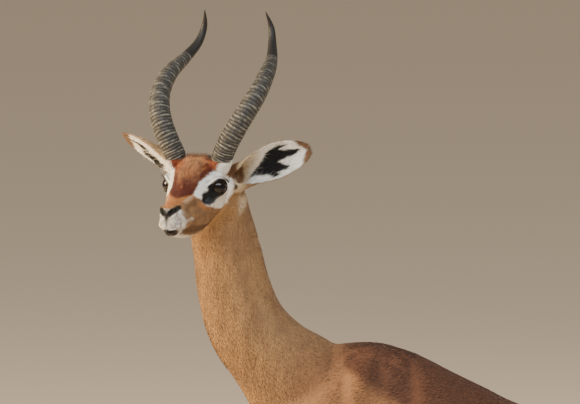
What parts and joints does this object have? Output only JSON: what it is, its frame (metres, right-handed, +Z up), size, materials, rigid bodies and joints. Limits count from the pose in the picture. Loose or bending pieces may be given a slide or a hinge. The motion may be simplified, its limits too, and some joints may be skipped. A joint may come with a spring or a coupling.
{
  "type": "gerenuk model",
  "caption": "Life-size standing male gerenuk: long raised neck, turned head with ringed lyre-shaped horns, slender legs on small hooves.",
  "frame": {"origin": "on the ground, under the middle of the animal's bounding box", "axes": "+Z up, the animal faces -X and its left side is towards -Y; the head is turned to the left, towards -Y"},
  "size_m": [1.1264, 0.339, 1.5503],
  "materials": {
    "coat": "short fawn hair",
    "saddle_coat": "short red-brown hair",
    "ear_hair": "fine white hair",
    "horn": "ringed dark horn",
    "eye": "wet dark eye",
    "hoof": "smooth dark horn",
    "tail_hair": "long black hair"
  },
  "bodies": {
    "root": {"torso": "saddle_coat", "neck_lower": "coat", "neck_upper": "coat", "head": "coat", "ear_left": "ear_hair", "ear_right": "ear_hair", "horn_left": "horn", "horn_right": "horn", "eye_left": "eye", "eye_right": "eye", "foreleg_left_upper": "coat", "foreleg_left_lower": "coat", "foreleg_right_upper": "coat", "foreleg_right_lower": "coat", "hindleg_left_upper": "coat", "hindleg_left_lower": "coat", "hindleg_right_upper": "coat", "hindleg_right_lower": "coat", "hoof_foreleg_left_inner": "hoof", "hoof_foreleg_left_outer": "hoof", "hoof_foreleg_right_inner": "hoof", "hoof_foreleg_right_outer": "hoof", "hoof_hindleg_left_inner": "hoof", "hoof_hindleg_left_outer": "hoof", "hoof_hindleg_right_inner": "hoof", "hoof_hindleg_right_outer": "hoof", "tail": "coat", "tail_tuft": "tail_hair"}
  },
  "joints": []
}
